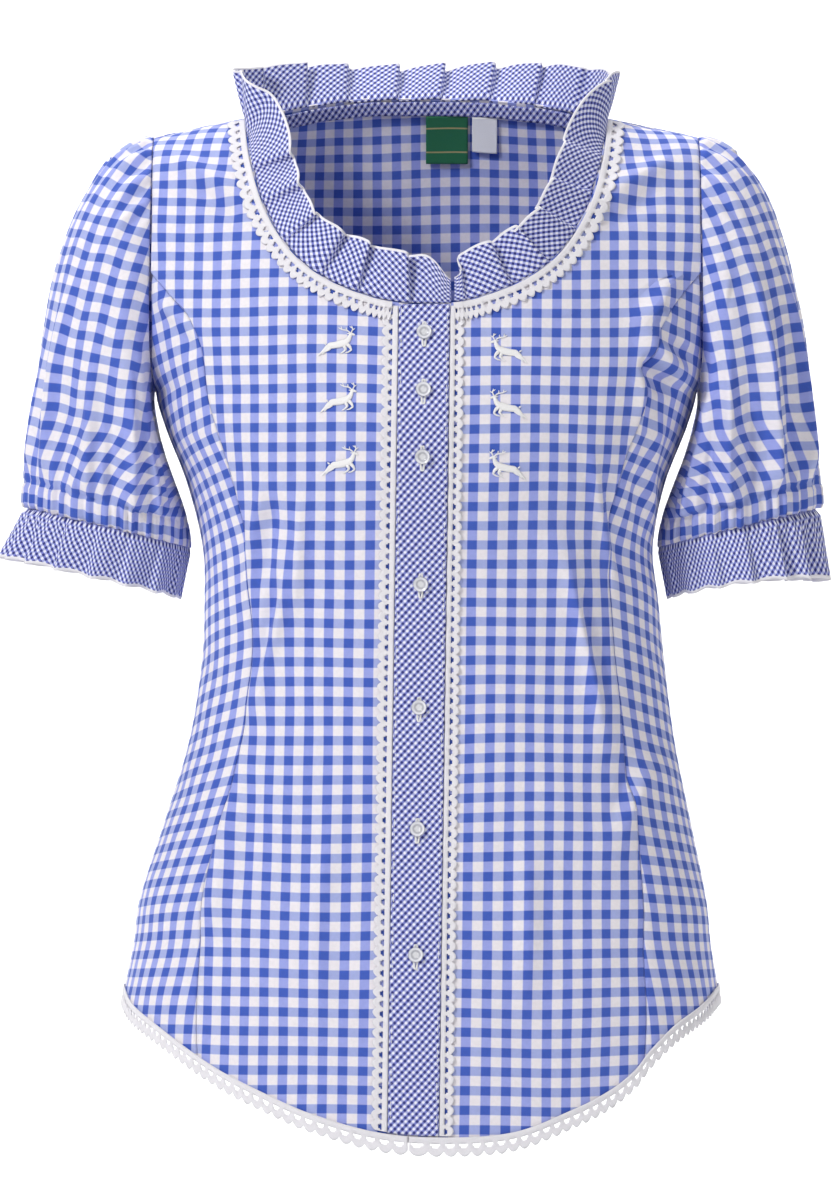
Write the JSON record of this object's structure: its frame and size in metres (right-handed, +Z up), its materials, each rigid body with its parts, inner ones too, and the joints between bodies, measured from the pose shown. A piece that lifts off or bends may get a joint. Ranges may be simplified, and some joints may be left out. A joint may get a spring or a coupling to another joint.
{
  "type": "dirndl blouse",
  "caption": "Blue gingham dirndl blouse with short puff sleeves, ruffled round neck and cuffs, lace-edged button placket and a curved lace hem, filled out as worn.",
  "frame": {"origin": "where the wearer holds the blouse up: midway between the two neck points of the shoulder seams", "axes": "+Z up, -Y the front with the buttons, +X the wearer's left"},
  "size_m": [0.522, 0.2473, 0.6912],
  "materials": {
    "gingham": "light cotton, blue and white gingham",
    "mini_check": "light cotton, small navy and white check",
    "lace": "white cotton eyelet lace",
    "buttons": "pearly gloss",
    "woven_label": "plain woven tape",
    "care_label": "plain satin tape"
  },
  "bodies": {
    "root": {"front_centre_right": "gingham", "front_centre_left": "gingham", "front_side_right": "gingham", "front_side_left": "gingham", "back": "gingham", "sleeve_right": "gingham", "sleeve_left": "gingham", "cuff_ruffle_right": "mini_check", "cuff_ruffle_left": "mini_check", "neck_ruffle": "mini_check", "placket": "mini_check", "neck_binding": "mini_check", "neck_lace_right": "lace", "neck_lace_left": "lace", "placket_lace_right": "lace", "placket_lace_left": "lace", "hem_lace_front_right": "lace", "hem_lace_front_left": "lace", "hem_lace_back": "lace", "button_1": "buttons", "button_2": "buttons", "button_3": "buttons", "button_4": "buttons", "button_5": "buttons", "button_6": "buttons", "button_7": "buttons", "woven_label": "woven_label", "care_label": "care_label"}
  },
  "joints": []
}
